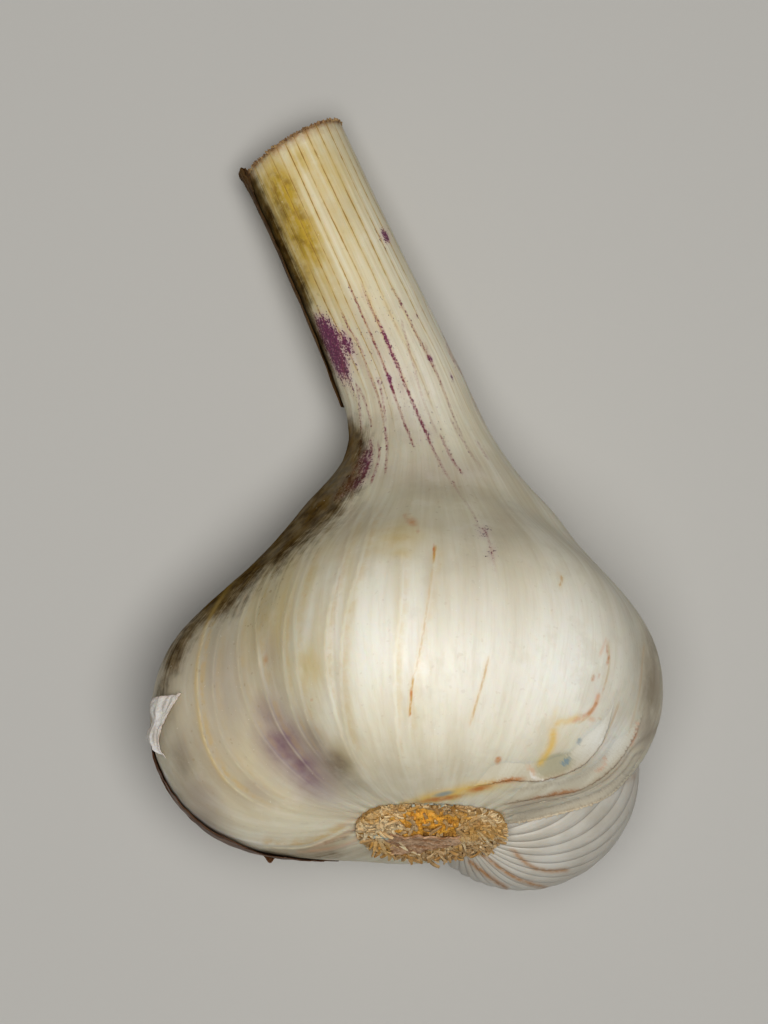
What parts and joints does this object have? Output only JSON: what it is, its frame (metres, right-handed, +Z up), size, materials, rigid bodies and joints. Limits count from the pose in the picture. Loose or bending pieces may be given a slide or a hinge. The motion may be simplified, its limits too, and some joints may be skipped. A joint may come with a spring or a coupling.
{
  "type": "garlic bulb",
  "caption": "Whole garlic bulb lying on its side: plump lobes in dry papery skin, a bent neck cut off short, and a trimmed root plate.",
  "frame": {"origin": "middle of the bounding box, on the surface that the bulb rests on", "axes": "+Z up from the resting surface; +Y along the bulb from the root plate to the cut neck; +X to the right, away from the side the neck leans to"},
  "size_m": [0.0612, 0.0937, 0.0514],
  "materials": {
    "dry_wrapper": "satin",
    "inner_skin": "satin",
    "root_cork": "matte",
    "old_sheath": "matte",
    "thin_skin": "satin",
    "torn_skin": "satin"
  },
  "bodies": {
    "root": {"wrapped_bulb": "dry_wrapper", "exposed_clove": "inner_skin", "root_plate": "root_cork", "neck_sheath": "old_sheath", "outer_skin_remnant": "thin_skin", "torn_flake": "torn_skin", "skin_shred": "thin_skin"}
  },
  "joints": []
}
